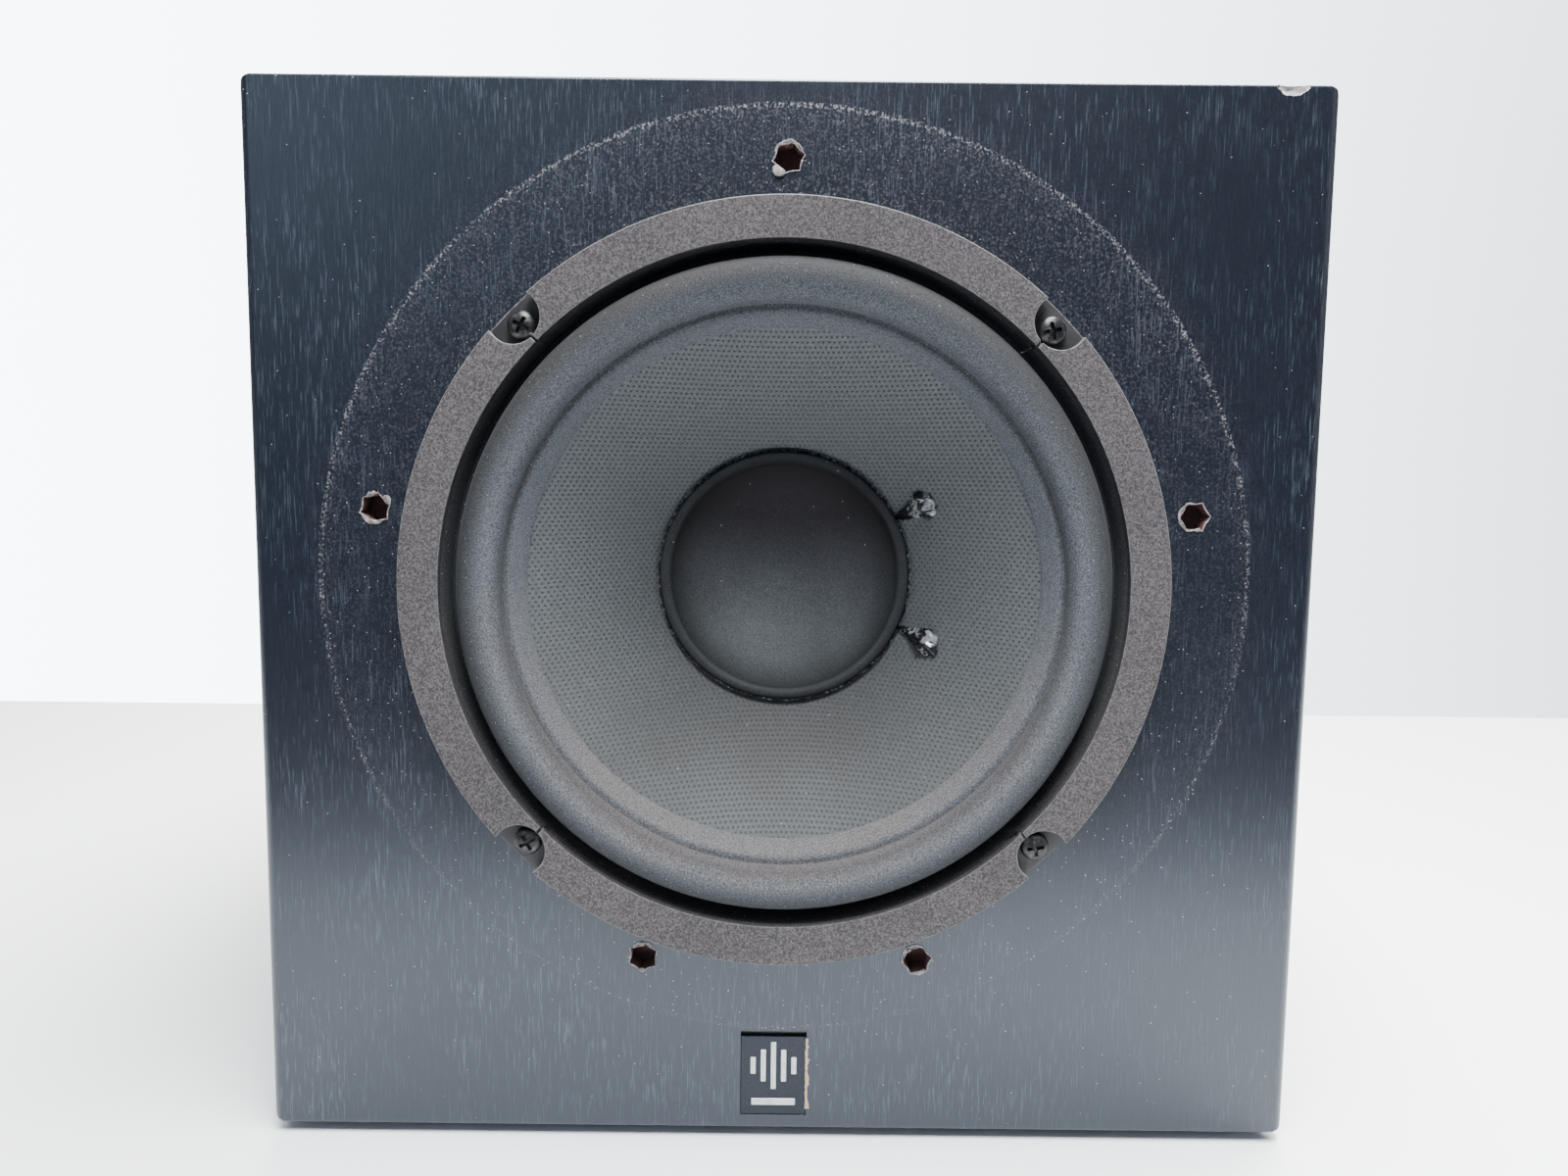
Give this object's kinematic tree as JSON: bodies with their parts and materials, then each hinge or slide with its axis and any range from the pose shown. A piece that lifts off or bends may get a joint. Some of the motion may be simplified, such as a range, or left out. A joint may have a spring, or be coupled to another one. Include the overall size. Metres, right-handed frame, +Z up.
{
  "type": "subwoofer",
  "caption": "Square black powered subwoofer with its grille off: front cone driver, rear port, and a plate amplifier with knobs, switches and inlets.",
  "frame": {"origin": "on the floor under the middle of the whole object, midway between the front of the surround and the back of the heat sink fins", "axes": "+Z up, the baffle and cone face -Y, +X to the right as seen from the front"},
  "size_m": [0.29, 0.3242, 0.293],
  "materials": {
    "black_ash_vinyl": "satin embossed wood-grain vinyl over board",
    "black_plastic": "moulded, fine texture",
    "foot_rubber": "matte",
    "wadding_wool": "fibrous",
    "basket_paint": "black stove paint on pressed steel",
    "seal_foam": "matte foam",
    "gasket_board": "matte, dusty",
    "blackened_screw": "blackened steel, worn to metal at the cross",
    "surround_rubber": "matte, dusty",
    "cone_weave": "coated, dimpled, dusty",
    "cap_skin": "satin, dusty",
    "former_foil": "dull",
    "coil_copper": "enamelled copper wire",
    "spider_cloth": "resin-treated cloth",
    "zinc_plate": "zinc plated",
    "ferrite": "matte ground",
    "terminal_board": "phenolic paper",
    "copper_braid": "braided",
    "wire_red": "satin",
    "wire_black": "satin",
    "plate_paint": "black powder coat",
    "black_anodised": "black anodised",
    "core_iron": "varnished laminations",
    "winding_tape": "yellow polyester tape",
    "circuit_board": "green solder mask",
    "capacitor_sleeve": "shrink sleeve",
    "pot_case": "plain",
    "knob_plastic": "satin",
    "slider_plastic": "satin"
  },
  "bodies": {
    "cabinet": {"front_baffle": "black_ash_vinyl", "top_panel": "black_ash_vinyl", "bottom_panel": "black_ash_vinyl", "left_panel": "black_ash_vinyl", "right_panel": "black_ash_vinyl", "rear_panel": "black_ash_vinyl", "foot_front_left": "foot_rubber", "foot_front_right": "foot_rubber", "foot_rear_left": "foot_rubber", "foot_rear_right": "foot_rubber", "port_tube": "black_plastic", "badge_plate": "black_plastic", "wadding": "wadding_wool", "basket": "basket_paint", "rear_gasket": "seal_foam", "gasket_right": "gasket_board", "gasket_top": "gasket_board", "gasket_left": "gasket_board", "gasket_bottom": "gasket_board", "driver_screw_upper_right": "blackened_screw", "driver_screw_upper_left": "blackened_screw", "driver_screw_lower_left": "blackened_screw", "driver_screw_lower_right": "blackened_screw", "surround": "surround_rubber", "spider": "spider_cloth", "top_plate": "zinc_plate", "magnet": "ferrite", "yoke": "zinc_plate", "terminal_board": "terminal_board", "lead_upper": "copper_braid", "lead_lower": "copper_braid", "wire_plus": "wire_red", "wire_minus": "wire_black", "amp_plate": "plate_paint", "amp_screw_1": "blackened_screw", "amp_screw_2": "blackened_screw", "amp_screw_3": "blackened_screw", "amp_screw_4": "blackened_screw", "heat_sink": "black_anodised", "transformer_core": "core_iron", "transformer_winding": "winding_tape", "circuit_board": "circuit_board", "capacitor_1": "capacitor_sleeve", "capacitor_2": "capacitor_sleeve", "level_pot": "pot_case", "cutoff_pot": "pot_case", "phase_switch": "black_plastic", "standby_switch": "black_plastic", "power_switch": "black_plastic", "mains_inlet": "black_plastic", "input_jacks": "black_plastic"},
    "cone": {"cone": "cone_weave", "dust_cap": "cap_skin", "coil_former": "former_foil", "voice_coil": "coil_copper"},
    "level_knob": {"level_knob": "knob_plastic"},
    "cutoff_knob": {"cutoff_knob": "knob_plastic"},
    "phase_slider": {"phase_slider": "slider_plastic"},
    "standby_slider": {"standby_slider": "slider_plastic"},
    "power_rocker": {"power_rocker": "knob_plastic"}
  },
  "joints": [
    {"name": "cone_travel", "type": "slide", "parent": "cabinet", "child": "cone", "axis": [0, -1, 0], "range_m": [-0.005, 0.005], "stiffness_N_per_m": 2400, "deforming": ["surround", "spider", "lead_upper", "lead_lower"]},
    {"name": "level_knob_turn", "type": "hinge", "parent": "cabinet", "child": "level_knob", "pos_m": [-0.032, 0.14552, 0.236], "axis": [0, 1, 0], "range_deg": [-150, 150]},
    {"name": "cutoff_knob_turn", "type": "hinge", "parent": "cabinet", "child": "cutoff_knob", "pos_m": [0.012, 0.14552, 0.236], "axis": [0, 1, 0], "range_deg": [-150, 150]},
    {"name": "power_rocker_tip", "type": "hinge", "parent": "cabinet", "child": "power_rocker", "pos_m": [-0.01, 0.14772, 0.1], "axis": [0, 0, 1], "range_deg": [0, 14]},
    {"name": "phase_slide", "type": "slide", "parent": "cabinet", "child": "phase_slider", "axis": [0, 0, -1], "range_m": [0, 0.004]},
    {"name": "standby_slide", "type": "slide", "parent": "cabinet", "child": "standby_slider", "axis": [0, 0, -1], "range_m": [0, 0.006]}
  ]
}
